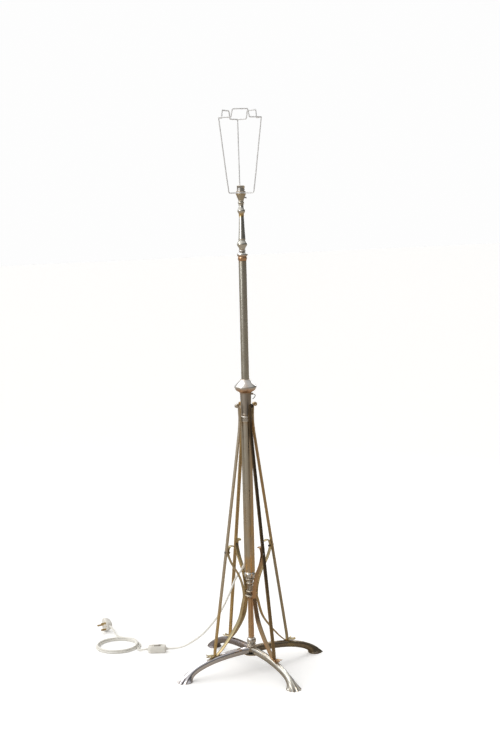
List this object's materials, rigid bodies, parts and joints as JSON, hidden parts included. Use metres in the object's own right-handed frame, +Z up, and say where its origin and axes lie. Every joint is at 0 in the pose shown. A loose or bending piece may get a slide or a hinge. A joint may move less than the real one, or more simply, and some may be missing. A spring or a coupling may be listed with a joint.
{
  "type": "floor lamp",
  "caption": "Telescopic floor lamp on arched legs with scrolled stays and bowed braces, a bayonet lampholder with a wire shade carrier, and a mains flex.",
  "frame": {"origin": "on the floor, on the column's axis", "axes": "+Z up the column; the legs point along X and Y"},
  "size_m": [0.6248, 0.8971, 1.7847],
  "materials": {
    "silver_plate": "polished, tarnished silver plate",
    "worn_plate": "silver plate worn through to brass",
    "warm_brass": "aged brass, golden tarnish",
    "copper_bronze": "copper-toned worn brass",
    "dull_pewter": "dull grey-brown tarnish",
    "steel_wire": "bright zinc-coated wire",
    "dark_steel": "dark oxidised steel",
    "cream_flex": "smooth off-white PVC sheath",
    "cream_plastic": "off-white moulded plastic"
  },
  "bodies": {
    "root": {"base_hub": "dull_pewter", "base_bun": "silver_plate", "lower_stem": "copper_bronze", "knop_reel": "worn_plate", "column_ball": "silver_plate", "main_column": "worn_plate", "tie_rod": "dark_steel", "tie_nut": "dark_steel", "column_collar": "silver_plate", "tapered_sleeve": "dull_pewter", "height_bulb": "silver_plate", "catch_pin": "dark_steel", "cable_gland": "cream_plastic", "flex_to_switch": "cream_flex", "switch_body": "cream_plastic", "flex_to_coil": "cream_flex", "flex_coil": "cream_flex", "flex_to_plug": "cream_flex", "plug_body": "cream_plastic", "plug_pin_earth": "warm_brass", "plug_pin_live": "warm_brass", "plug_pin_neutral": "warm_brass", "leg_front_left": "silver_plate", "leg_front_right": "silver_plate", "leg_back_right": "silver_plate", "leg_back_left": "silver_plate", "leg_screw_front_left": "dark_steel", "leg_screw_front_right": "dark_steel", "leg_screw_back_right": "dark_steel", "leg_screw_back_left": "dark_steel", "stay_front_left": "worn_plate", "stay_front_right": "worn_plate", "stay_back_right": "worn_plate", "stay_back_left": "worn_plate", "brace_front_left": "warm_brass", "brace_front_right": "warm_brass", "brace_back_right": "warm_brass", "brace_back_left": "warm_brass", "brace_screw_front_left": "dark_steel", "brace_screw_front_right": "dark_steel", "brace_screw_back_right": "dark_steel", "brace_screw_back_left": "dark_steel"},
    "catch": {"release_catch": "steel_wire"},
    "rocker": {"switch_rocker": "cream_plastic"},
    "slider": {"friction_bush": "warm_brass"},
    "upper": {"inner_tube": "silver_plate", "flex_in_tube": "cream_flex", "tube_cap": "silver_plate", "baluster": "silver_plate", "gallery_cup": "worn_plate", "cup_screw": "dark_steel", "lampholder_body": "silver_plate", "carrier_seat_ring": "steel_wire", "carrier_wire_1": "steel_wire", "carrier_wire_2": "steel_wire", "carrier_wire_3": "steel_wire", "carrier_top_ring": "steel_wire"},
    "shade_ring": {"shade_ring": "silver_plate"},
    "plunger_1": {"contact_plunger_1": "warm_brass"},
    "plunger_2": {"contact_plunger_2": "warm_brass"}
  },
  "joints": [
    {"name": "height_slide", "type": "slide", "parent": "root", "child": "slider", "axis": [0, 0, 1], "range_m": [-0.36, 0.075]},
    {"name": "column_swivel", "type": "hinge", "parent": "slider", "child": "upper", "pos_m": [0, 0, 1.3182], "axis": [0, 0, 1], "range_deg": [-170, 170]},
    {"name": "shade_ring_turn", "type": "hinge", "parent": "upper", "child": "shade_ring", "pos_m": [0, 0, 1.531], "axis": [0, 0, 1], "continuous": true},
    {"name": "plunger_1_press", "type": "slide", "parent": "upper", "child": "plunger_1", "axis": [0, 0, -1], "range_m": [0, 0.003], "stiffness_N_per_m": 300},
    {"name": "plunger_2_press", "type": "slide", "parent": "upper", "child": "plunger_2", "axis": [0, 0, -1], "range_m": [0, 0.003], "stiffness_N_per_m": 300},
    {"name": "catch_press", "type": "hinge", "parent": "root", "child": "catch", "pos_m": [0.01795, -0.01166, 0.8981], "axis": [0.5446, 0.8387, 0], "range_deg": [0, 9], "stiffness_Nm_per_rad": 0.4},
    {"name": "rocker_tilt", "type": "hinge", "parent": "root", "child": "rocker", "pos_m": [-0.1893, 0.304, 0.0231], "axis": [-0.5, -0.866, 0], "range_deg": [-14, 0]}
  ]
}
